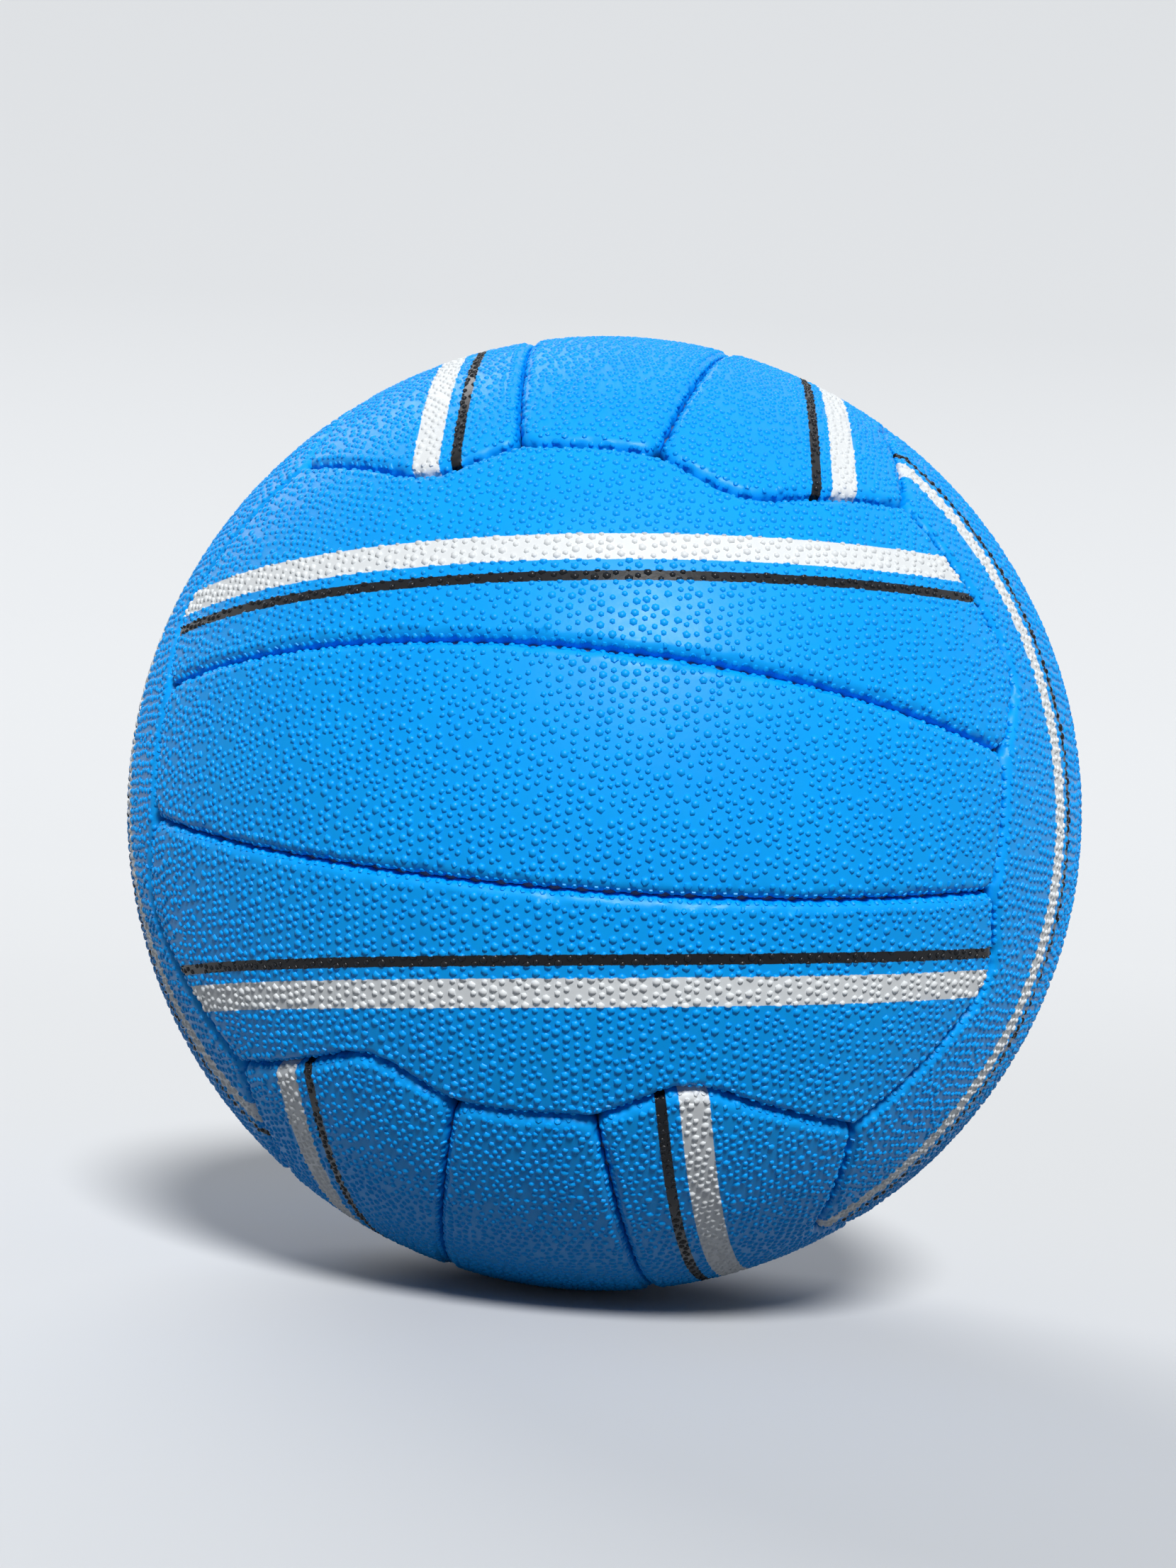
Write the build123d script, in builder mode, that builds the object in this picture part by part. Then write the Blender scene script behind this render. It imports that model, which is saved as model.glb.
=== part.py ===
# Netball, size 5: eighteen pimpled rubber panels, lined and stitched, over a bladder with its valve.
# Millimetres, origin at the ball's centre, +Z up. The front face looks along -Y, the valve along +Y.
# The six faces of a cube carry three strips each, and the strips of neighbouring faces run crosswise.
# Every seam is made of great-circle arcs, so the panels are cut by planes through the ball's centre.
import os
from math import asin, cos, degrees, pi, radians, sin, sqrt, tan
from build123d import *

os.makedirs("parts", exist_ok=True)

# Ball
circumference = 700.0
ball_radius = circumference / (2 * pi)

# Seam layout, as angles at the ball's centre
strip_half_angle = 12.0        # midline of a middle strip to its seam
end_seam_angle = 8.1           # cube edge to the straight end of a middle strip
bulge_angle = 12.5             # cube edge to the tip of an outer strip's bulged end, before rounding
bulge_place = 16.85            # middle of the cube edge to that tip

# Rubber panels with turned-in edges
skin_thickness = 1.2
edge_thickness = 1.2           # turned-in edge, measured along the ball
turn_in_depth = 4.6            # face of the ball to the inner end of a turned-in edge
shoulder_radius = 2.6          # roll of the skin into the seam
corner_radius = 4.2            # corners where panels meet
bulge_radius = 14.0            # bulged end of an outer panel, and the hollow that it fits
bend_radius = 9.0              # blunt bends in the long side of an outer panel
seam_gap = 0.12                # between two stitched edges

# Layered cloth lining bonded behind each panel
backing_thickness = 2.6
bond_gap = 0.1                 # glue line

# Thread, drawn flat between the turned-in edges
thread_width = 0.8
thread_height = 0.8
thread_depth = 2.9             # face of the ball to the thread
thread_clearance = 0.08
thread_end_gap = 6.0           # end of a thread to the corner of the panels that it joins

# Bladder
bladder_thickness = 0.8
bladder_gap = 0.2              # bladder to the turned-in edges

# Valve
stem_radius = 3.6
stem_clearance = 0.15
stem_recess = 0.4              # mouth of the stem below the face of the ball
disc_radius = 13.0
disc_thickness = 1.4
barrel_radius = 4.6
barrel_length = 12.0           # barrel below the disc, inside the bladder
barrel_rounding = 1.2
core_radius = 2.2
core_clearance = 0.05
core_recess = 0.5              # core below the mouth of the stem
core_seat = 1.6                # rubber left under the core
needle_radius = 1.0
needle_seal = 1.5              # closed lips under the needle channel
needle_funnel = 0.5            # chamfer that leads the needle in

# Radii of the layers, from the cover inwards
edge_inner_radius = ball_radius - turn_in_depth
skin_inner_radius = ball_radius - skin_thickness
backing_outer_radius = skin_inner_radius - bond_gap
backing_inner_radius = backing_outer_radius - backing_thickness
thread_outer_radius = ball_radius - thread_depth
thread_inner_radius = thread_outer_radius - thread_height
bladder_outer_radius = edge_inner_radius - bladder_gap
bladder_inner_radius = bladder_outer_radius - bladder_thickness

# Distances of the nested outlines from the middle of a seam
panel_inset = seam_gap / 2
channel_inset = thread_width / 2 + thread_clearance
cavity_inset = panel_inset + edge_thickness
backing_inset = cavity_inset + bond_gap

# The shell that panels are cut from reaches past every seam of its face
sector_reach = 64.0
sector_spread = 50.0
overcut = 1.0

# Seam points of one face, as directions from the ball's centre: the face looks along Z,
# its strips run along X, and each cube edge is met by the face whose strips end there
end_lean = tan(radians(end_seam_angle))
bulge_lean = tan(radians(bulge_angle))
junction_place = tan(radians(strip_half_angle)) * (1 - end_lean) / sqrt(2)
bulge_offset = tan(radians(bulge_place))


def end_point(place, lean):
    """Seam point on the cube edge where the strips of the face end."""
    return Vector((1 + lean) / sqrt(2), place, (1 - lean) / sqrt(2))


def side_point(place, lean):
    """Seam point on the cube edge that an outer strip of the face runs along."""
    return Vector(place, (1 - lean) / sqrt(2), (1 + lean) / sqrt(2))


def far(point):
    """The same seam point at the other end of the strip."""
    return Vector(-point.X, point.Y, point.Z)


def low(point):
    """The same seam point on the other side of the middle strip."""
    return Vector(point.X, -point.Y, point.Z)


across = Vector(0, 1, 0)
junction = end_point(junction_place, end_lean)
bulge = end_point(bulge_offset, bulge_lean)
corner = Vector(1, 1, 1)
side_bulge = side_point(bulge_offset, bulge_lean)
side_junction = side_point(junction_place, end_lean)
outer_middle = Vector(0, tan(radians((strip_half_angle + 45 - end_seam_angle) / 2)), 1)


def seam_plane(start, end, inset):
    """Plane through the centre and two points of an anticlockwise outline, moved in by inset."""
    return Plane(origin=(0, 0, 0), z_dir=start.cross(end)).offset(inset)


def strip_axis_plane(angle):
    """Plane through the strip axis, turned by angle from the middle of the face, with Y outwards."""
    a = radians(angle)
    return Plane(origin=(0, 0, 0), x_dir=(1, 0, 0), z_dir=(0, -cos(a), sin(a)))


def ring_piece(inner_radius, outer_radius, reach):
    """Outline of a piece of a flat ring, reaching by an angle to both sides of the Y axis."""
    outer = CenterArc((0, 0), outer_radius, 90 - reach, 2 * reach)
    inner = CenterArc((0, 0), inner_radius, 90 - reach, 2 * reach)
    Line(outer @ 0, inner @ 0)
    Line(outer @ 1, inner @ 1)


def cut_shell(inner_radius, outer_radius, seams, inset, side):
    """Piece of a spherical shell on one side of all the given seams."""
    with BuildPart() as piece:
        with BuildSketch(strip_axis_plane(-sector_spread)):
            with BuildLine():
                ring_piece(inner_radius, outer_radius, sector_reach)
            make_face()
        revolve(axis=Axis((0, 0, 0), (-1, 0, 0)), revolution_arc=2 * sector_spread)
        for start, end in seams:
            split(bisect_by=seam_plane(start, end, inset), keep=side)
    return piece.part


def radial_edges(part, points):
    """The edges that run from the centre outwards through the given seam points."""
    straight = part.edges().filter_by(GeomType.LINE)
    return [min(straight, key=lambda edge: (edge @ 0.5).get_angle(point)) for point in points]


def rim_edges(part, radius):
    """The edges that lie on a sphere round the centre."""
    return [edge for edge in part.edges() if abs((edge @ 0.5).length - radius) < 0.001]


def middle_block(inset, inner_radius, outer_radius):
    """Piece of shell with the outline of a middle panel, drawn in by inset."""
    outline = [low(junction), junction, far(junction), far(low(junction))]
    seams = zip(outline, outline[1:] + outline[:1])
    shell = cut_shell(inner_radius, outer_radius, seams, inset, Keep.TOP)
    with BuildPart() as block:
        add(shell)
        fillet(radial_edges(block, outline), corner_radius - inset)
    return block.part


def outer_block(inset, inner_radius, outer_radius):
    """Piece of shell with the outline of an outer panel, drawn in by inset."""
    outline = [far(corner), far(bulge), far(junction), junction, bulge, corner]
    seams = zip(outline, outline[1:])
    shell = cut_shell(inner_radius, outer_radius, seams, inset, Keep.TOP)
    right_end = [(corner, side_bulge), (side_bulge, side_junction)]
    left_end = [(far(side_junction), far(side_bulge)), (far(side_bulge), far(corner))]
    middle_end = [(side_junction, far(side_junction)), (across, side_bulge), (far(side_bulge), across)]
    neighbours = [
        cut_shell(inner_radius, outer_radius, end, inset, Keep.BOTTOM)
        for end in (right_end, left_end, middle_end)
    ]
    with BuildPart() as block:
        add(shell)
        add(neighbours, mode=Mode.SUBTRACT)
        fillet(radial_edges(block, [side_bulge, far(side_bulge)]), bulge_radius + inset)
        fillet(radial_edges(block, [bulge, far(bulge)]), bulge_radius - inset)
        fillet(radial_edges(block, [side_junction, far(side_junction)]), bend_radius - inset)
        fillet(radial_edges(block, [junction, far(junction), corner, far(corner)]), corner_radius - inset)
    return block.part


def rounded(block, radius, rounding):
    """A block with the edge of its outer face rolled over."""
    with BuildPart() as piece:
        add(block)
        fillet(rim_edges(piece, radius), rounding)
    return piece.part


def panel(make_block):
    """Rubber panel: a thin skin with turned-in edges, and a channel for the thread round them."""
    body = rounded(make_block(panel_inset, edge_inner_radius, ball_radius), ball_radius, shoulder_radius)
    cavity = rounded(
        make_block(cavity_inset, edge_inner_radius - overcut, skin_inner_radius),
        skin_inner_radius,
        shoulder_radius - skin_thickness,
    )
    channel_radii = (thread_inner_radius - thread_clearance, thread_outer_radius + thread_clearance)
    thread_layer = cut_shell(*channel_radii, [], 0, Keep.TOP)
    inside_channel = make_block(channel_inset, *channel_radii)
    with BuildPart() as channel:
        add(thread_layer)
        add(inside_channel, mode=Mode.SUBTRACT)
    with BuildPart() as piece:
        add(body)
        add(cavity, mode=Mode.SUBTRACT)
        add(channel.part, mode=Mode.SUBTRACT)
    return piece.part


def backing(make_block):
    """Lining that fills the back of a panel between its turned-in edges."""
    block = make_block(backing_inset, backing_inner_radius, backing_outer_radius)
    return rounded(block, backing_outer_radius, shoulder_radius - skin_thickness - bond_gap)


middle_panel = panel(middle_block)
outer_panel = panel(outer_block)
middle_backing = backing(middle_block)
outer_backing = backing(outer_block)

# Thread of one strip seam, short of the junctions at both ends
strip_seam_reach = degrees(asin(junction.normalized().X) - thread_end_gap / ball_radius)
with BuildPart() as strip_thread:
    with BuildSketch(strip_axis_plane(strip_half_angle)):
        with BuildLine():
            ring_piece(thread_inner_radius, thread_outer_radius, strip_seam_reach)
        make_face()
    extrude(amount=thread_width / 2, both=True)

# Thread along the long side of an outer strip, short of the corners at both ends
outside_thread = outer_block(-thread_width / 2, thread_inner_radius, thread_outer_radius)
inside_thread = outer_block(thread_width / 2, thread_inner_radius, thread_outer_radius)
with BuildPart() as side_thread:
    add(outside_thread)
    add(inside_thread, mode=Mode.SUBTRACT)
    split(bisect_by=seam_plane(outer_middle, corner, thread_end_gap), keep=Keep.TOP)
    split(bisect_by=seam_plane(far(corner), outer_middle, thread_end_gap), keep=Keep.TOP)

with BuildPart() as face_stitching:
    add(strip_thread.part)
    add(side_thread.part)
    mirror(about=Plane.XZ)

# Each face with its strip direction, its outward direction and the names of its two outer strips
faces = (
    ("front", (1, 0, 0), (0, -1, 0), "upper", "lower"),
    ("back", (-1, 0, 0), (0, 1, 0), "upper", "lower"),
    ("top", (0, 1, 0), (0, 0, 1), "left", "right"),
    ("bottom", (0, 1, 0), (0, 0, -1), "right", "left"),
    ("left", (0, 0, 1), (-1, 0, 0), "back", "front"),
    ("right", (0, 0, 1), (1, 0, 0), "front", "back"),
)
valve_face = "back"
valve_hole_radius = stem_radius + stem_clearance

for face, strip, outwards, one_side, other_side in faces:
    plane = Plane(origin=(0, 0, 0), x_dir=strip, z_dir=outwards)
    turned = Plane(origin=(0, 0, 0), x_dir=-plane.x_dir, z_dir=outwards)
    placed = (
        (f"{face}_middle_panel", plane, middle_panel),
        (f"{face}_middle_backing", plane, middle_backing),
        (f"{face}_{one_side}_panel", plane, outer_panel),
        (f"{face}_{one_side}_backing", plane, outer_backing),
        (f"{face}_{other_side}_panel", turned, outer_panel),
        (f"{face}_{other_side}_backing", turned, outer_backing),
        (f"{face}_stitching", plane, face_stitching.part),
    )
    for name, place, shape in placed:
        with BuildPart(place) as piece:
            add(shape)
            if face == valve_face and "middle" in name:
                with BuildSketch(place.offset(edge_inner_radius - overcut)):
                    Circle(valve_hole_radius)
                extrude(amount=turn_in_depth + 2 * overcut, mode=Mode.SUBTRACT)
        piece.part.label = name
        export_step(piece.part, f"parts/{name}.step")

# Bladder, open only where the valve stem passes
with BuildPart() as bladder:
    with BuildSketch(Plane.XY):
        Circle(bladder_outer_radius)
        Circle(bladder_inner_radius, mode=Mode.SUBTRACT)
        with Locations((-ball_radius, 0)):
            Rectangle(2 * ball_radius, 2 * ball_radius, mode=Mode.SUBTRACT)
        with Locations((0, ball_radius)):
            Rectangle(2 * valve_hole_radius, ball_radius, mode=Mode.SUBTRACT)
    revolve(axis=Axis.Y)
bladder.part.label = "bladder"
export_step(bladder.part, "parts/bladder.step")

# Valve housing: stem through the cover, disc bonded inside the bladder, barrel behind it
disc_face_radius = bladder_inner_radius - bond_gap
disc_back_radius = disc_face_radius - disc_thickness
mouth = ball_radius - stem_recess
barrel_end = disc_back_radius - barrel_length
core_end = barrel_end + core_seat
with BuildPart() as valve_housing:
    with BuildSketch(Plane.XY):
        with Locations((0, ball_radius)):
            Rectangle(2 * disc_radius, ball_radius)
        Circle(disc_face_radius, mode=Mode.INTERSECT)
        Circle(disc_back_radius, mode=Mode.SUBTRACT)
        with Locations((0, disc_back_radius)):
            Rectangle(2 * stem_radius, mouth - disc_back_radius, align=(Align.CENTER, Align.MIN))
        with Locations((0, barrel_end)):
            Rectangle(2 * barrel_radius, barrel_length + disc_thickness / 2, align=(Align.CENTER, Align.MIN))
        with Locations((0, core_end)):
            Rectangle(
                2 * (core_radius + core_clearance),
                mouth - core_end,
                align=(Align.CENTER, Align.MIN),
                mode=Mode.SUBTRACT,
            )
        with Locations((-ball_radius, 0)):
            Rectangle(2 * ball_radius, 4 * ball_radius, mode=Mode.SUBTRACT)
    revolve(axis=Axis.Y)
    fillet(valve_housing.edges().group_by(Axis.Y)[0], barrel_rounding)
valve_housing.part.label = "valve_housing"
export_step(valve_housing.part, "parts/valve_housing.step")

# Valve core: a plug with the needle channel, closed at its inner end
core_start = core_end + core_clearance
core_face = mouth - core_recess
channel_end = core_start + needle_seal
with BuildPart() as valve_core:
    with BuildSketch(Plane.XY):
        with Locations((0, core_start)):
            Rectangle(core_radius, core_face - core_start, align=(Align.MIN, Align.MIN))
        with Locations((0, channel_end)):
            Rectangle(
                needle_radius,
                core_face - channel_end,
                align=(Align.MIN, Align.MIN),
                mode=Mode.SUBTRACT,
            )
    revolve(axis=Axis.Y)
    funnel = valve_core.edges().filter_by(GeomType.CIRCLE).group_by(Axis.Y)[-1].sort_by(SortBy.RADIUS)[0]
    chamfer(funnel, needle_funnel)
valve_core.part.label = "valve_core"
export_step(valve_core.part, "parts/valve_core.step")
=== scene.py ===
import random
from math import atan2, ceil, cos, hypot, pi, radians, sin, sqrt

import bmesh
import bpy
from mathutils import Matrix, Vector, kdtree, noise


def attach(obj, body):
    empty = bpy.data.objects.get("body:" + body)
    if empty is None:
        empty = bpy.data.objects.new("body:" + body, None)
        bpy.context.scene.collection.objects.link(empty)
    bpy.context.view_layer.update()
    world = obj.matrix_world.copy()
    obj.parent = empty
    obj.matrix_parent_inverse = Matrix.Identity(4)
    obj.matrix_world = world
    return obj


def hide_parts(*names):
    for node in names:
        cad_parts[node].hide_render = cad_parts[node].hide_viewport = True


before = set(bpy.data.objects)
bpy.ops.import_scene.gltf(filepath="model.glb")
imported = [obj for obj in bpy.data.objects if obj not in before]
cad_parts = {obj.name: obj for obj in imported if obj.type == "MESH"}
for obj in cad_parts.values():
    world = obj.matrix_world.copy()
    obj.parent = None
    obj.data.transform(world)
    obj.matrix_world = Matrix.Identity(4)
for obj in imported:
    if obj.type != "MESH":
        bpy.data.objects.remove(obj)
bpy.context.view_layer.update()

# Bladder: the air-tight balloon inside the ball, blown from black butyl rubber in one piece.
# It is dusted with talc before it goes into the cover, so that it can slide and settle.
MM = 0.001  # in metres
talc_patch = 9 * MM


def linear(colour):
    """Linear colour of an sRGB hex value."""
    channels = [int(colour[place:place + 2], 16) / 255 for place in (1, 3, 5)]
    return [c / 12.92 if c <= 0.04045 else ((c + 0.055) / 1.055) ** 2.4 for c in channels] + [1.0]


def add_node(tree, kind, inputs=None, **settings):
    """Adds a node with its settings, and links or sets its inputs."""
    node = tree.nodes.new(kind)
    for name, value in settings.items():
        setattr(node, name, value)
    for name, value in (inputs or {}).items():
        if isinstance(value, bpy.types.NodeSocket):
            tree.links.new(value, node.inputs[name])
        else:
            node.inputs[name].default_value = value
    return node


def start_material(name):
    """Empty node material, its tree and the place of a point on the object."""
    material = bpy.data.materials.new(name)
    material.use_nodes = True
    tree = material.node_tree
    tree.nodes.clear()
    return material, tree, add_node(tree, "ShaderNodeTexCoord").outputs["Object"]


def dress(node, material):
    """Gives a CAD node that is kept its finish."""
    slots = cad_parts[node].data.materials
    slots.clear()
    slots.append(material)


# Black rubber, matt, under a cloudy grey film of talc
butyl, tree, place = start_material("talc_dusted_butyl_rubber")
pattern = {"Vector": place, "Scale": 1 / talc_patch, "Detail": 6.0}
dust = add_node(tree, "ShaderNodeTexNoise", pattern).outputs[0]
tones = {0: dust, 6: linear("#3A3B3D"), 7: linear("#626365")}
colour = add_node(tree, "ShaderNodeMix", tones, data_type="RGBA").outputs[2]
surface = {"Base Color": colour, "Roughness": 0.6, "IOR": 1.52}
shader = add_node(tree, "ShaderNodeBsdfPrincipled", surface)
add_node(tree, "ShaderNodeOutputMaterial", {"Surface": shader.outputs[0]})
dress("bladder", butyl)

# Valve: a housing of moulded rubber, bonded inside the bladder by its disc, with its stem in the cover.
# A plug of soft grey rubber sits in the stem, and closes round the inflating needle.
mould_grain = 0.4 * MM
grain_depth = 0.03 * MM
for node, name, dark, light, roughness in (
    ("valve_housing", "matt_moulded_valve_rubber", "#37383B", "#474A4D", 0.55),
    ("valve_core", "soft_self_sealing_rubber", "#4E4E50", "#646466", 0.45),
):
    # Matt rubber with the fine grain of a spark-eroded mould
    finish, tree, place = start_material(name)
    pattern = {"Vector": place, "Scale": 1 / mould_grain, "Detail": 3.0}
    grain = add_node(tree, "ShaderNodeTexNoise", pattern).outputs[0]
    tones = {0: grain, 6: linear(dark), 7: linear(light)}
    colour = add_node(tree, "ShaderNodeMix", tones, data_type="RGBA").outputs[2]
    relief = {"Height": grain, "Strength": 0.3, "Distance": grain_depth}
    bump = add_node(tree, "ShaderNodeBump", relief).outputs[0]
    surface = {"Base Color": colour, "Roughness": roughness, "IOR": 1.5, "Normal": bump}
    shader = add_node(tree, "ShaderNodeBsdfPrincipled", surface)
    add_node(tree, "ShaderNodeOutputMaterial", {"Surface": shader.outputs[0]})
    dress(node, finish)

# Linings: layers of cotton and polyester cloth, glued with latex behind each cover panel.
# They keep the ball round, and the latex closes their weave.
faces = {  # direction of the strips, way out of the ball, and names of the two outer strips
    "front": ((1, 0, 0), (0, -1, 0), "upper", "lower"),
    "back": ((-1, 0, 0), (0, 1, 0), "upper", "lower"),
    "top": ((0, 1, 0), (0, 0, 1), "left", "right"),
    "bottom": ((0, 1, 0), (0, 0, -1), "right", "left"),
    "left": ((0, 0, 1), (-1, 0, 0), "back", "front"),
    "right": ((0, 0, 1), (1, 0, 0), "front", "back"),
}
slub_length = 4 * MM
fibre_width = 0.6 * MM  # drawn coarser than the real yarn, which is too fine to show
fibre_depth = 0.15 * MM

# Off-white cloth, matt and uneven, stained a little by the dried latex
cloth, tree, place = start_material("latexed_cotton_cloth")
pattern = {"Vector": place, "Scale": 1 / slub_length, "Detail": 5.0}
stain = add_node(tree, "ShaderNodeTexNoise", pattern).outputs[0]
pattern = {"Vector": place, "Scale": 1 / fibre_width, "Detail": 4.0}
fibre = add_node(tree, "ShaderNodeTexNoise", pattern).outputs[0]
tones = {0: stain, 6: linear("#DAD7CE"), 7: linear("#EFECE5")}
colour = add_node(tree, "ShaderNodeMix", tones, data_type="RGBA").outputs[2]
relief = {"Height": fibre, "Strength": 0.5, "Distance": fibre_depth}
bump = add_node(tree, "ShaderNodeBump", relief).outputs[0]
surface = {"Base Color": colour, "Roughness": 0.9, "IOR": 1.5, "Specular IOR Level": 0.2}
surface["Normal"] = bump
shader = add_node(tree, "ShaderNodeBsdfPrincipled", surface)
add_node(tree, "ShaderNodeOutputMaterial", {"Surface": shader.outputs[0]})
for face, (*_, one_side, other_side) in faces.items():
    for name in ("middle", one_side, other_side):
        dress(f"{face}_{name}_backing", cloth)

# Cover panels: eighteen pieces cut from moulded rubber sheet, three strips to each of six faces.
# The sheet is pimpled for grip and printed. The edges of each piece are rolled over and turned in
# at the seams, where the stitches draw them down.
ball_radius = 700 * MM / (2 * pi)
skin_thickness = 1.2 * MM
shoulder_radius = 2.6 * MM  # roll of the sheet into a seam
quarter_roll = shoulder_radius * pi / 2
wall_depth = 2.0 * MM  # straight part of the turned-in edge below the roll
merge_distance = 0.03 * MM
crown_tolerance = 0.002 * MM
line_step = 0.2 * MM  # between the points of a panel's edge line
margin = 3.0 * MM  # sheet laid past the crown before it is rolled
rim_step = 0.55 * MM  # longest edge along the rim of the margin
valve_hole = 3.75 * MM  # radius
valve_mouth = 4.35 * MM  # radius with its rounded lip
valve_reach = 6 * MM  # a point on an edge that is nearer the valve's axis than this is on its hole
valve_lip = (  # radius and depth of each row of points through the hole
    (4.05 * MM, 0.1 * MM),
    (3.85 * MM, 0.32 * MM),
    (valve_hole, 0.7 * MM),
    (valve_hole, skin_thickness),
)
pimple_pitch = 1.95 * MM
pimpled_margin = 2.3 * MM  # pimples go on this far round the roll
pimple_stray = 0.2 * pimple_pitch
longest_edge = 1.4 * pimple_pitch  # edges of the even net that are longer than this are split
shortest_edge = 0.68 * pimple_pitch  # and those that are shorter than this are closed up
net_rounds = 9
net_smoothing = 0.5
least_triangle = 0.2 * pimple_pitch ** 2  # area that a triangle keeps when its points are moved
large_pimple = (0.86 * MM, 0.49 * MM)  # radius and height
small_pimple = (0.63 * MM, 0.42 * MM)
pimple_side = 0.2  # share of a pimple's radius that its steep side takes
pimple_shoulder = 0.64  # share of its height at the top of that side
large_share = 0.5
pimple_space = 0.08 * MM  # least gap between the feet of two pimples
roll_step = 0.85 * MM  # longest edge of the sheet where it is rolled
roll_rounds = 2
sharp_bend = radians(53)  # edges that bend by more than this are shaded sharp
stitch_pitch = 5.2 * MM
end_lean = 0.75  # an edge that faces along its strip by more than this is an end of the strip
slit_length = 2.4 * MM
slit_depth = 0.42 * MM
slit_drop = 0.35  # how far a slit also sinks, as a share of its depth
slit_start = 1.6 * MM  # reach past the crown where a slit begins to open
slit_range = 3.2 * MM  # a stitch draws in nothing that is farther from it than this
pucker_height = 0.34 * MM  # unevenness of the roll, where the thread has drawn it tight
pucker_length = 3.4 * MM
odd_way = Vector((1, 0.618, 0.414))  # direction along which no two points of a sheet tie
dice = random.Random(5)


def crown_of(node):
    """Copy of the smooth outer face of a CAD panel, without its rolled edges."""
    crown = bmesh.new()
    crown.from_mesh(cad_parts[node].data)
    bmesh.ops.remove_doubles(crown, verts=crown.verts, dist=merge_distance)
    below = [v for v in crown.verts if v.co.length < ball_radius - crown_tolerance]
    bmesh.ops.delete(crown, geom=below, context="VERTS")
    return crown


def at_valve(vert):
    """Whether a vertex on the edge of a sheet is on the valve hole."""
    return vert.co.y > 0 and hypot(vert.co.x, vert.co.z) < valve_reach


def valve_place(vert, radius, depth):
    """Place on a vertex's side, at a distance from the valve's axis and below the face of the ball."""
    x, z = Vector((vert.co.x, vert.co.z)).normalized() * radius
    return Vector((x, sqrt((ball_radius - depth) ** 2 - radius ** 2), z))


def way_out(vert):
    """Direction in the sheet, square to its edge, that leaves the panel at an edge vertex."""
    total = Vector()
    for edge in vert.link_edges:
        if edge.is_boundary:
            a, b = edge.verts
            side = (b.co - a.co).cross(a.co)
            inside = edge.link_faces[0].calc_center_median() - a.co
            total += side.normalized() * (-1 if side.dot(inside) > 0 else 1)
    up = vert.co.normalized()
    return (total - up * total.dot(up)).normalized()


def edge_line(crown):
    """Points close together along a panel's edge, in order, each with its way out."""
    rim = [v for v in crown.verts if v.is_boundary and not at_valve(v)]
    vert = max(rim, key=lambda v: abs(v.co.x))
    ways = {v: way_out(v) for v in rim}
    walked = set()
    points = []
    while True:
        onward = [e for e in vert.link_edges if e.is_boundary and e not in walked]
        if not onward:
            return points
        walked.add(onward[0])
        ahead = onward[0].other_vert(vert)
        count = ceil(onward[0].calc_length() / line_step)
        for step in range(count):
            spot = vert.co.lerp(ahead.co, step / count).normalized() * ball_radius
            way = ways[vert].lerp(ways[ahead], step / count)
            up = spot.normalized()
            points.append((spot, (way - up * way.dot(up)).normalized()))
        vert = ahead


def searchable(spots):
    """Search tree of a list of points."""
    tree = kdtree.KDTree(len(spots))
    for index, spot in enumerate(spots):
        tree.insert(spot, index)
    tree.balance()
    return tree


def face_turn(strip, outwards, side=1):
    """Turn from the face frame, with strips along X and Z outwards, to a face of the ball."""
    x = Vector(strip) * side
    z = Vector(outwards)
    return Matrix((x, z.cross(x), z)).transposed()


# Stitches: points along the two long sides of every outer strip, which are all the seams there are
outer_line = edge_line(crown_of("front_upper_panel"))
walk = 0.0
stitches = []
for (spot, way), (ahead, _) in zip(outer_line, outer_line[1:]):
    if abs(way.x) < end_lean:
        walk += (ahead - spot).length
        if walk > stitch_pitch:
            walk -= stitch_pitch
            stitches.append(spot + (way - spot.normalized()) * shoulder_radius)
from_front = face_turn(*faces["front"][:2]).transposed()
stitches = [
    face_turn(strip, outwards, side) @ from_front @ stitch
    for strip, outwards, *_ in faces.values()
    for side in (1, -1)
    for stitch in stitches
]
stitch_tree = searchable(stitches)


def in_order(sheet):
    """Lists a mesh anew by place, because some operators list what they make in no fixed order."""
    sheet.verts.sort(key=lambda v: v.co.dot(odd_way))
    sheet.edges.sort(key=lambda e: (e.verts[0].co + e.verts[1].co).dot(odd_way))
    sheet.faces.sort(key=lambda f: f.calc_center_median().dot(odd_way))
    listed = bpy.data.meshes.new("sheet")
    sheet.to_mesh(listed)
    sheet.clear()
    sheet.from_mesh(listed)
    bpy.data.meshes.remove(listed)


def even_net(sheet):
    """Reworks the triangles of a sheet until its points lie about a pitch apart. Its rim stays."""
    for _ in range(net_rounds):
        in_order(sheet)
        long = [e for e in sheet.edges if not e.is_boundary and e.calc_length() > longest_edge]
        bmesh.ops.subdivide_edges(sheet, edges=long, cuts=1)
        bmesh.ops.triangulate(sheet, faces=sheet.faces)
        short = []
        taken = set()
        for edge in sheet.edges:
            a, b = edge.verts
            if a.is_boundary or b.is_boundary or a in taken or b in taken:
                continue
            round_a, round_b = ({link.other_vert(vert) for link in vert.link_edges} for vert in (a, b))
            if edge.calc_length() < shortest_edge and len(round_a & round_b) == 2:
                short.append(edge)
                taken |= round_a | round_b
        bmesh.ops.collapse(sheet, edges=short)
        inner_edges = [e for e in sheet.edges if not e.is_boundary]
        bmesh.ops.beautify_fill(sheet, faces=sheet.faces, edges=inner_edges, method="ANGLE")
        inner = [v for v in sheet.verts if not v.is_boundary]
        bmesh.ops.smooth_vert(
            sheet, verts=inner, factor=net_smoothing, use_axis_x=True, use_axis_y=True, use_axis_z=True
        )
        for vert in inner:
            vert.co = vert.co.normalized() * ball_radius
    in_order(sheet)


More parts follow.
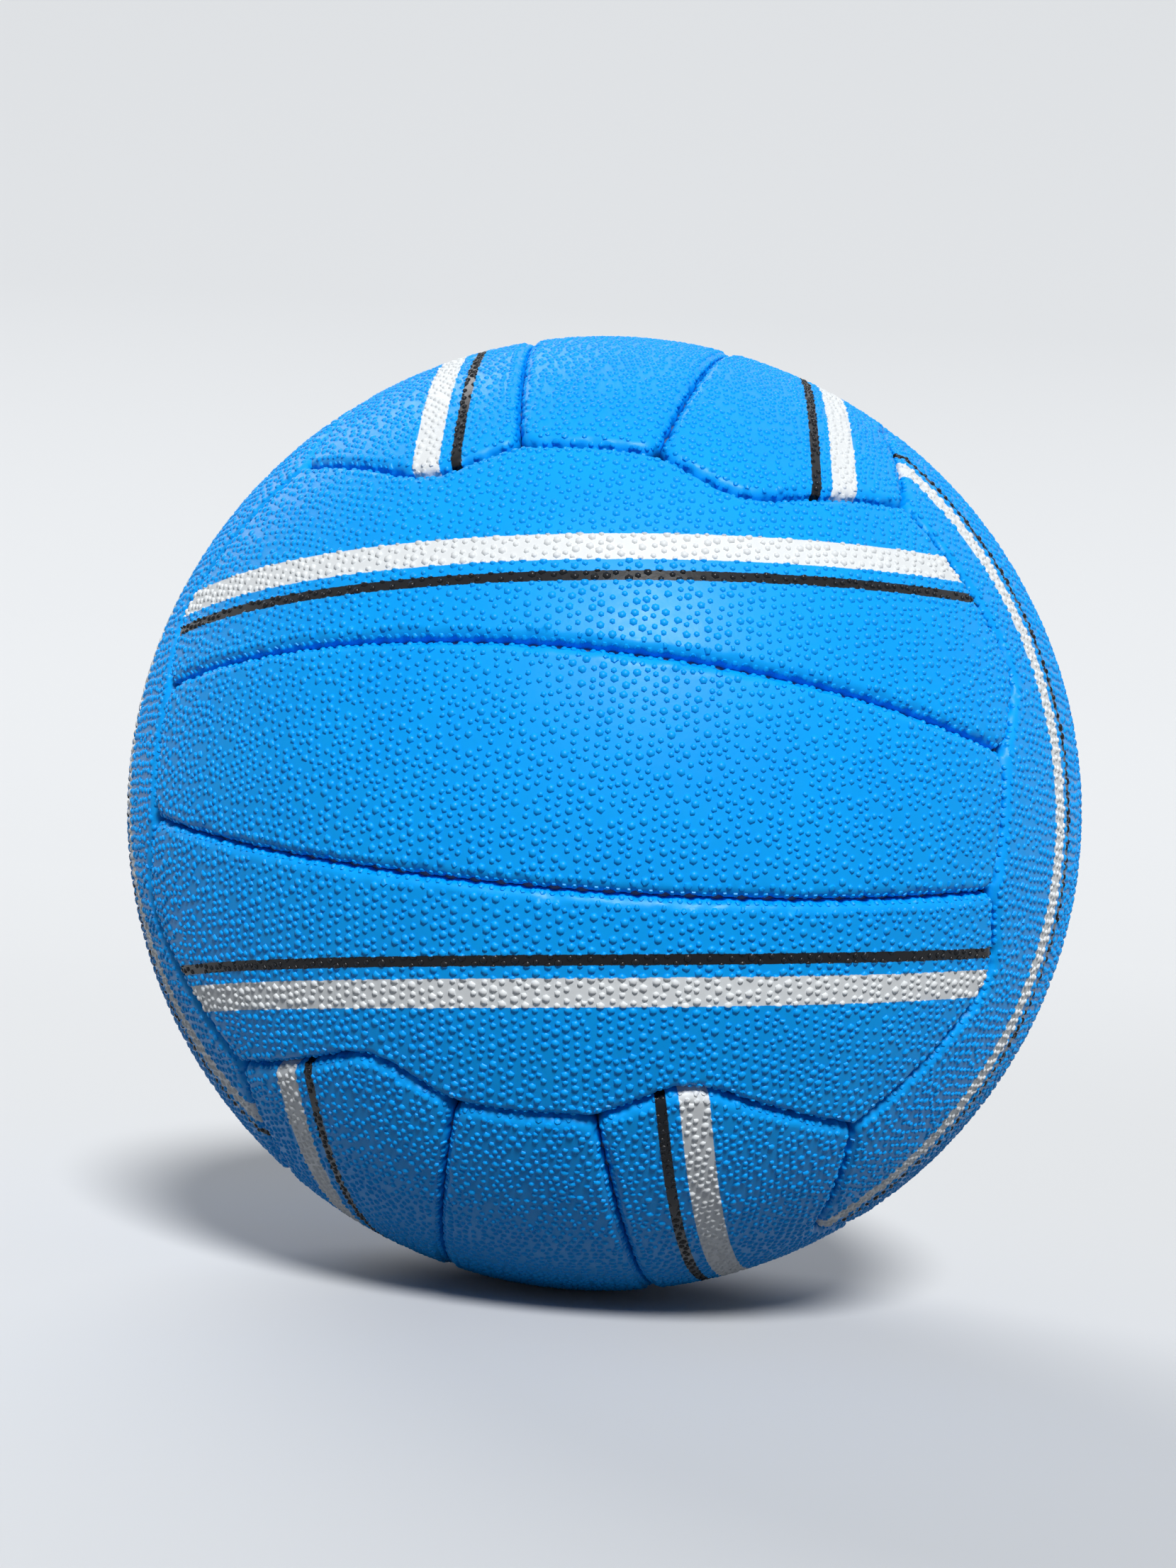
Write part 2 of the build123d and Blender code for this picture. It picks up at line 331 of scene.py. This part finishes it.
def outward_area(face):
    """Area of a triangle of the flat sheet, negative where it is folded over."""
    a, b, c = (vert.co for vert in face.verts)
    return (b - a).cross(c - a).dot(a.normalized()) / 2


def scatter(sheet):
    """Moves the points of an even net a little at random, where that folds or flattens no triangle."""
    for vert in sheet.verts:
        if not vert.is_boundary:
            home = vert.co.copy()
            stray = Vector([dice.uniform(-1, 1) for _ in range(3)]) * pimple_stray
            vert.co = (home + stray).normalized() * ball_radius
            if any(outward_area(face) < least_triangle for face in vert.link_faces):
                vert.co = home


def raise_pimples(sheet, tips):
    """Turns each tip that has room into a round pad, and draws the pad up into a dome."""
    room = {}
    for vert in tips:
        radius = large_pimple[0] if dice.random() < large_share else small_pimple[0]
        for edge in vert.link_edges:
            beside = edge.other_vert(vert)
            taken = room.get(beside, 0 if beside.is_boundary else small_pimple[0])
            spare = edge.calc_length() - pimple_space - taken
            if radius > spare:
                radius = small_pimple[0] if small_pimple[0] <= spare else 0
        room[vert] = radius
    pads = []
    for radius, height in (large_pimple, small_pimple):
        made = bmesh.ops.bevel(
            sheet,
            geom=[v for v in tips if room[v] == radius],
            offset=radius,
            offset_type="OFFSET",
            affect="VERTICES",
            segments=1,
            profile=0.5,
            material=-1,
            clamp_overlap=False,
        )
        pads.append((made["faces"], radius, height))
    for pad_faces, radius, height in pads:
        side = {"thickness": pimple_side * radius, "depth": pimple_shoulder * height}
        bmesh.ops.inset_individual(sheet, faces=pad_faces, **side)
        top = (1 - pimple_shoulder) * height
        bmesh.ops.poke(sheet, faces=pad_faces, offset=top, center_mode="MEAN")


def rolled(spot, way, reach, height):
    """Where a point of the flat sheet goes when its edge is rolled into the seam and stitched."""
    up = spot.normalized()
    turn = min(reach / shoulder_radius, pi / 2)
    sunk = max(reach - quarter_roll, 0)
    over_roll = min(reach / margin, 1)
    hump = 4 * over_roll * (1 - over_roll)  # one in the middle of the margin, nought at its ends
    height += pucker_height * noise.noise(spot / pucker_length) * hump
    out = up * cos(turn) + way * sin(turn)
    place = spot - up * (shoulder_radius + sunk) + out * (shoulder_radius + height)
    stitch, _, distance = stitch_tree.find(place)
    if distance < slit_range and height > -skin_thickness / 2:
        along = (place - stitch).dot(up.cross(way)) / (slit_length / 2)
        opening = min(max((reach - slit_start) / (margin - slit_start), 0), 1)
        place -= (way + up * slit_drop) * slit_depth * opening * max(1 - along ** 2, 0)
    return place


def panel_mesh(node):
    """Rubber panel that fits a CAD panel: pimpled, turned in at its edges and hollow behind."""
    sheet = crown_of(node)
    line = edge_line(sheet)
    line_tree = searchable([spot for spot, _ in line])

    def over_edge(point):
        """Nearest place on the panel's edge line, the way out there, and how far out a point lies."""
        flat = point.normalized() * ball_radius
        spot, index, _ = line_tree.find(flat)
        way = line[index][1]
        aside = spot.normalized().cross(way)
        spot = (spot + aside * (flat - spot).dot(aside)).normalized() * ball_radius
        return spot, way, (flat - spot).dot(way)

    def rim_edges():
        """Edges on the outer rim of the sheet."""
        return [e for e in sheet.edges if e.is_boundary and not at_valve(e.verts[0])]

    # The flat sheet, with a margin past the crown
    for vert in bmesh.ops.extrude_edge_only(sheet, edges=rim_edges())["geom"]:
        if isinstance(vert, bmesh.types.BMVert):
            spot, way, _ = over_edge(vert.co)
            vert.co = (spot + way * margin).normalized() * ball_radius
    in_order(sheet)
    for vert in sheet.verts:
        if vert.is_boundary and at_valve(vert):
            vert.co = valve_place(vert, valve_mouth, 0)
    while True:
        long = [e for e in rim_edges() if e.calc_length() > rim_step]
        if not long:
            break
        bmesh.ops.subdivide_edges(sheet, edges=long, cuts=1)
    bmesh.ops.triangulate(sheet, faces=sheet.faces)
    even_net(sheet)
    edge_layer = sheet.verts.layers.float.new("edge")
    number = sheet.verts.layers.int.new("number")

    # The back of the skin has the same net, without pimples
    places = [over_edge(vert.co)[:2] for vert in sheet.verts]
    for index, vert in enumerate(sheet.verts):
        vert[number] = index
    back = sheet.copy()
    for vert in back.verts:
        if vert.is_boundary and at_valve(vert):
            vert.co = valve_place(vert, valve_hole, skin_thickness)
            continue
        spot, way, reach = over_edge(vert.co)
        if reach > 0:
            vert.co = rolled(spot, way, reach, -skin_thickness)
        else:
            vert.co *= 1 - skin_thickness / ball_radius
    bmesh.ops.reverse_faces(back, faces=back.faces)

    # The front is pimpled and its edge rolled over
    scatter(sheet)
    inner = [v for v in sheet.verts if not v.is_boundary]
    raise_pimples(sheet, [v for v in inner if over_edge(v.co)[2] < pimpled_margin])
    for _ in range(roll_rounds):
        long = [e for e in sheet.edges if e.calc_length() > roll_step and not e.is_boundary]
        long = [e for e in long if over_edge((e.verts[0].co + e.verts[1].co) / 2)[2] > -roll_step / 2]
        bmesh.ops.subdivide_edges(sheet, edges=long, cuts=1)
        bmesh.ops.triangulate(sheet, faces=[f for f in sheet.faces if len(f.verts) > 4])
    for vert in sheet.verts:
        spot, way, reach = over_edge(vert.co)
        if reach > 0:
            vert.co = rolled(spot, way, reach, vert.co.length - ball_radius)
            vert[edge_layer] = reach

    # The edge goes on down the seam and up again behind, and the lip of the valve hole through the skin,
    # until they meet the back
    def grow(rim, place):
        """Extrudes a rim by one row of vertices, puts them in place and returns them."""
        edges = [e for e in sheet.edges if e.is_boundary and e.verts[0] in rim and e.verts[1] in rim]
        onward = {}
        for vert in bmesh.ops.extrude_edge_only(sheet, edges=edges)["geom"]:
            if isinstance(vert, bmesh.types.BMVert):
                source = next(e.other_vert(vert) for e in vert.link_edges if e.other_vert(vert) in rim)
                onward[vert] = rim[source]
                vert.co = place(source)
        return onward

    seam_rim = {v: v[number] for v in sheet.verts if v.is_boundary and not at_valve(v)}
    valve_rim = {v: v[number] for v in sheet.verts if v.is_boundary and at_valve(v)}
    for reach, height in (
        ((margin + quarter_roll) / 2, 0),
        (quarter_roll, 0),
        (quarter_roll + wall_depth, 0),
        (quarter_roll + wall_depth, -skin_thickness),
        (quarter_roll, -skin_thickness),
        (margin, -skin_thickness),
    ):
        last_rim = seam_rim
        seam_rim = grow(last_rim, lambda source: rolled(*places[last_rim[source]], reach, height))
        for vert in seam_rim:
            vert[edge_layer] = reach
    for radius, depth in valve_lip:
        valve_rim = grow(valve_rim, lambda source: valve_place(source, radius, depth))
    count = len(sheet.verts)
    mesh = bpy.data.meshes.new(node)
    back.to_mesh(mesh)
    back.free()
    sheet.from_mesh(mesh)
    sheet.verts.ensure_lookup_table()
    meeting = {vert: sheet.verts[count + index] for vert, index in (seam_rim | valve_rim).items()}
    bmesh.ops.weld_verts(sheet, targetmap=meeting)
    bmesh.ops.recalc_face_normals(sheet, faces=sheet.faces)
    for edge in sheet.edges:
        edge.smooth = edge.calc_face_angle(0) < sharp_bend
    for face in sheet.faces:
        face.smooth = True
    sheet.verts.layers.int.remove(number)
    sheet.to_mesh(mesh)
    sheet.free()
    return mesh


# The three kinds of panel, each with the face that it is made on, are turned to all eighteen places
masters = {
    "middle": (panel_mesh("front_middle_panel"), "front"),
    "outer": (panel_mesh("front_upper_panel"), "front"),
    "valve": (panel_mesh("back_middle_panel"), "back"),
}
for mesh, home in masters.values():
    # Place on the strip: along it and across it, measured on the ball from the middle of the face
    to_face = face_turn(*faces[home][:2]).transposed()
    on_strip = mesh.attributes.new("on_strip", "FLOAT_VECTOR", "POINT")
    for vert, spot in zip(mesh.vertices, on_strip.data):
        x, y, z = to_face @ vert.co
        spot.vector = (atan2(x, z) * ball_radius, atan2(y, hypot(x, z)) * ball_radius, 0)

# Moulded rubber sheet, satin from the mould: a bright blue with a faint orange peel between the pimples,
# and painted shade that darkens it down in the seams. The print is a white band and a thin black line on
# each outer strip, a little uneven at its edges, where the ink runs over the pimples.
band_slope = 0.1  # rise of the print along the strip
white_band = (44 * MM, 6.0 * MM)  # place across the strip and width
black_line = (37.4 * MM, 2.2 * MM)
ink_edge = 0.08 * MM  # half the width over which the ink gives out
ink_stray = 0.35 * MM  # unevenness of its edge
ink_grain = 0.7 * MM
painted_shade_start = 3.0 * MM  # reach past the crown where the painted seam shade begins, and where it is full
painted_shade_end = 6.0 * MM
mottle_size = 14 * MM
peel_size = 1.1 * MM
peel_depth = 0.06 * MM
wipe_size = 5 * MM
wipe_range = (0.3, 0.7)
sheen_range = (0.34, 0.46)  # roughness where the rubber is wiped and where it is dull
rubber, tree, place = start_material("satin_moulded_rubber")
pattern = {"Vector": place, "Scale": 1 / mottle_size, "Detail": 4.0}
mottle = add_node(tree, "ShaderNodeTexNoise", pattern).outputs[0]
tones = {0: mottle, 6: linear("#009BF2"), 7: linear("#00A8FC")}
colour = add_node(tree, "ShaderNodeMix", tones, data_type="RGBA").outputs[2]
# Painted shade: past the crown the blue is mixed towards a darker blue deep in the seams, where the
# groove lies in shadow
seam = add_node(tree, "ShaderNodeAttribute", attribute_name="edge").outputs["Fac"]
limits = {"Value": seam, "From Min": painted_shade_start, "From Max": painted_shade_end}
painted_seam_shade = add_node(tree, "ShaderNodeMapRange", limits).outputs[0]
tones = {0: painted_seam_shade, 6: colour, 7: linear("#0A64B4")}
colour = add_node(tree, "ShaderNodeMix", tones, data_type="RGBA").outputs[2]
on_strip = add_node(tree, "ShaderNodeAttribute", attribute_name="on_strip").outputs["Vector"]
pattern = {"Vector": place, "Scale": 1 / ink_grain, "Detail": 2.0}
grain = add_node(tree, "ShaderNodeTexNoise", pattern).outputs["Color"]
stray = {0: grain, 1: (0.5, 0.5, 0.5)}
stray = add_node(tree, "ShaderNodeVectorMath", stray, operation="SUBTRACT").outputs[0]
stray = {0: stray, "Scale": ink_stray}
stray = add_node(tree, "ShaderNodeVectorMath", stray, operation="SCALE").outputs[0]
printed = add_node(tree, "ShaderNodeVectorMath", {0: on_strip, 1: stray}, operation="ADD").outputs[0]
printed = add_node(tree, "ShaderNodeSeparateXYZ", {0: printed})
along, across = printed.outputs["X"], printed.outputs["Y"]
rise = add_node(tree, "ShaderNodeMath", {0: along, 1: band_slope}, operation="MULTIPLY").outputs[0]
level = add_node(tree, "ShaderNodeMath", {0: across, 1: rise}, operation="SUBTRACT").outputs[0]
pattern = {"Vector": place, "Scale": 1 / wipe_size, "Detail": 5.0, "Roughness": 0.65}
wipe = add_node(tree, "ShaderNodeTexNoise", pattern).outputs[0]
limits = {"Value": wipe, "From Min": wipe_range[0], "From Max": wipe_range[1]}
limits |= {"To Min": sheen_range[0], "To Max": sheen_range[1]}
sheen = add_node(tree, "ShaderNodeMapRange", limits).outputs[0]
for (middle, width), ink, gloss in ((white_band, "#E2E6E8", 0.4), (black_line, "#15171B", 0.26)):
    off = add_node(tree, "ShaderNodeMath", {0: level, 1: middle}, operation="SUBTRACT").outputs[0]
    off = add_node(tree, "ShaderNodeMath", {0: off}, operation="ABSOLUTE").outputs[0]
    limits = {"Value": off, "From Min": width / 2 + ink_edge, "From Max": width / 2 - ink_edge}
    inked = add_node(tree, "ShaderNodeMapRange", limits).outputs[0]
    tones = {0: inked, 6: colour, 7: linear(ink)}
    colour = add_node(tree, "ShaderNodeMix", tones, data_type="RGBA").outputs[2]
    sheen = add_node(tree, "ShaderNodeMix", {0: inked, 2: sheen, 3: gloss}).outputs[0]
pattern = {"Vector": place, "Scale": 1 / peel_size, "Detail": 3.0}
peel = add_node(tree, "ShaderNodeTexNoise", pattern).outputs[0]
relief = {"Height": peel, "Strength": 0.35, "Distance": peel_depth}
bump = add_node(tree, "ShaderNodeBump", relief).outputs[0]
surface = {"Base Color": colour, "Roughness": sheen, "IOR": 1.5, "Specular IOR Level": 0.2}
surface["Normal"] = bump
shader = add_node(tree, "ShaderNodeBsdfPrincipled", surface)
add_node(tree, "ShaderNodeOutputMaterial", {"Surface": shader.outputs[0]})

for face, (strip, outwards, one_side, other_side) in faces.items():
    for name, side in (("middle", 1), (one_side, 1), (other_side, -1)):
        kind = "outer" if name != "middle" else "valve" if face == "back" else "middle"
        mesh, home = masters[kind]
        mesh = mesh.copy()
        turn = face_turn(strip, outwards, side) @ face_turn(*faces[home][:2]).transposed()
        mesh.transform(turn.to_4x4())
        mesh.materials.append(rubber)
        piece = bpy.data.objects.new(f"{face}_{name}_cover", mesh)
        bpy.context.collection.objects.link(piece)
        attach(piece, "root")
        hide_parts(f"{face}_{name}_panel")

# Stitching: waxed polyester thread, drawn tight between the turned-in edges of the panels.
# It lies flat in the channel that the edges leave, deep in the seams.
ply_length = 1.5 * MM
ply_depth = 0.08 * MM

# Navy thread, dulled by its wax, with the broken sheen of its twisted plies
waxed, tree, place = start_material("waxed_polyester_thread")
pattern = {"Vector": place, "Scale": 1 / ply_length, "Detail": 4.0}
ply = add_node(tree, "ShaderNodeTexNoise", pattern).outputs[0]
tones = {0: ply, 6: linear("#34496B"), 7: linear("#4A668F")}
colour = add_node(tree, "ShaderNodeMix", tones, data_type="RGBA").outputs[2]
relief = {"Height": ply, "Strength": 0.4, "Distance": ply_depth}
bump = add_node(tree, "ShaderNodeBump", relief).outputs[0]
surface = {"Base Color": colour, "Roughness": 0.5, "IOR": 1.5, "Normal": bump}
shader = add_node(tree, "ShaderNodeBsdfPrincipled", surface)
add_node(tree, "ShaderNodeOutputMaterial", {"Surface": shader.outputs[0]})
for face in faces:
    dress(f"{face}_stitching", waxed)

# Stage: a pale sheet of paper that lies flat under the ball and curves up behind it.
# The ball rests on its lowest pimples.
floor_level = -ball_radius - large_pimple[1]
paper_half_width = 4.0  # in metres, like its other sizes
paper_front = -3.0
paper_steps = ((0, 5, 0), (0, 0.8, 0.15), (0, 0.6, 0.5), (0, 0.3, 0.8), (0, 0, 3))
sweep = bmesh.new()
front = [sweep.verts.new((side * paper_half_width, paper_front, floor_level)) for side in (-1, 1)]
edges = [sweep.edges.new(front)]
for step in paper_steps:
    grown = bmesh.ops.extrude_edge_only(sweep, edges=edges)["geom"]
    edges = [g for g in grown if isinstance(g, bmesh.types.BMEdge)]
    verts = [g for g in grown if isinstance(g, bmesh.types.BMVert)]
    bmesh.ops.translate(sweep, vec=Vector(step), verts=verts)
bmesh.ops.recalc_face_normals(sweep, faces=sweep.faces)
for face in sweep.faces:
    face.smooth = True
mesh = bpy.data.meshes.new("backdrop")
sweep.to_mesh(mesh)
sweep.free()


def seen_share(tree):
    """One on rays that see a thing, straight or mirrored or through glass, and nought on all others."""
    rays = add_node(tree, "ShaderNodeLightPath").outputs
    seen = {0: rays["Is Camera Ray"], 1: rays["Is Glossy Ray"]}
    seen = add_node(tree, "ShaderNodeMath", seen, operation="MAXIMUM").outputs[0]
    seen = {0: seen, 1: rays["Is Transmission Ray"]}
    return add_node(tree, "ShaderNodeMath", seen, operation="MAXIMUM").outputs[0]


# Pale paper to the camera, greyer to the light that it throws back under the ball
paper, tree, _ = start_material("pale_paper_backdrop")
tones = {0: seen_share(tree), 6: linear("#5C5E62"), 7: linear("#D9DBDD")}
colour = add_node(tree, "ShaderNodeMix", tones, data_type="RGBA").outputs[2]
shader = add_node(tree, "ShaderNodeBsdfPrincipled", {"Base Color": colour, "Roughness": 0.9})
add_node(tree, "ShaderNodeOutputMaterial", {"Surface": shader.outputs[0]})
mesh.materials.append(paper)
backdrop = bpy.data.objects.new("backdrop", mesh)
backdrop.visible_shadow = False  # the lamp behind it lights the far side of the ball
bpy.context.collection.objects.link(backdrop)

# Lamps: a key from above the camera, and a softer one from behind for the far side of the ball.
# The room round them is a faint fill, and is pale where it is seen.
for name, energy, angle, direction in (
    ("key", 3.5, 0.25, (0.195, -0.763, 0.616)),
    ("far_side", 1.5, 0.7, (-0.42, 0.72, 0.55)),
):
    lamp = bpy.data.lights.new(name, "SUN")
    lamp.energy = energy
    lamp.angle = angle
    lamp = bpy.data.objects.new(name, lamp)
    lamp.rotation_euler = Vector(direction).to_track_quat("Z", "Y").to_euler()
    bpy.context.collection.objects.link(lamp)
world = bpy.data.worlds.new("studio")
bpy.context.scene.world = world
world.use_nodes = True
tree = world.node_tree
tree.nodes.clear()
fill = add_node(tree, "ShaderNodeBackground", {"Color": linear("#DDE6F0"), "Strength": 0.11}).outputs[0]
pale = add_node(tree, "ShaderNodeBackground", {"Color": linear("#F0F1F3"), "Strength": 1.0}).outputs[0]
room = add_node(tree, "ShaderNodeMixShader", {0: seen_share(tree), 1: fill, 2: pale}).outputs[0]
add_node(tree, "ShaderNodeOutputWorld", {"Surface": room})

# Camera: level with the lower half of the ball and a little to its right, as the photograph was taken.
# Its axes and its place, in radii of the ball, were fitted to the ball's outline and seam corners.
photo_height = 2212  # in pixels, as the focal length
focal_length = 2848
camera = bpy.data.cameras.new("camera")
camera.sensor_width = 36
camera.lens = camera.sensor_width * focal_length / photo_height
view = bpy.data.objects.new("camera", camera)
right = Vector((0.98913, 0.11329, 0.09372))
down = Vector((0.08310, 0.09507, -0.99200))
forward = Vector((-0.12129, 0.98900, 0.08463))
stand = Vector((0.49042, -4.32238, -0.31274))
axes = Matrix((right, -down, -forward)).transposed()
view.matrix_world = Matrix.Translation(stand * ball_radius) @ axes.to_4x4()
bpy.context.collection.objects.link(view)
bpy.context.scene.camera = view
bpy.context.scene.view_settings.view_transform = "Standard"
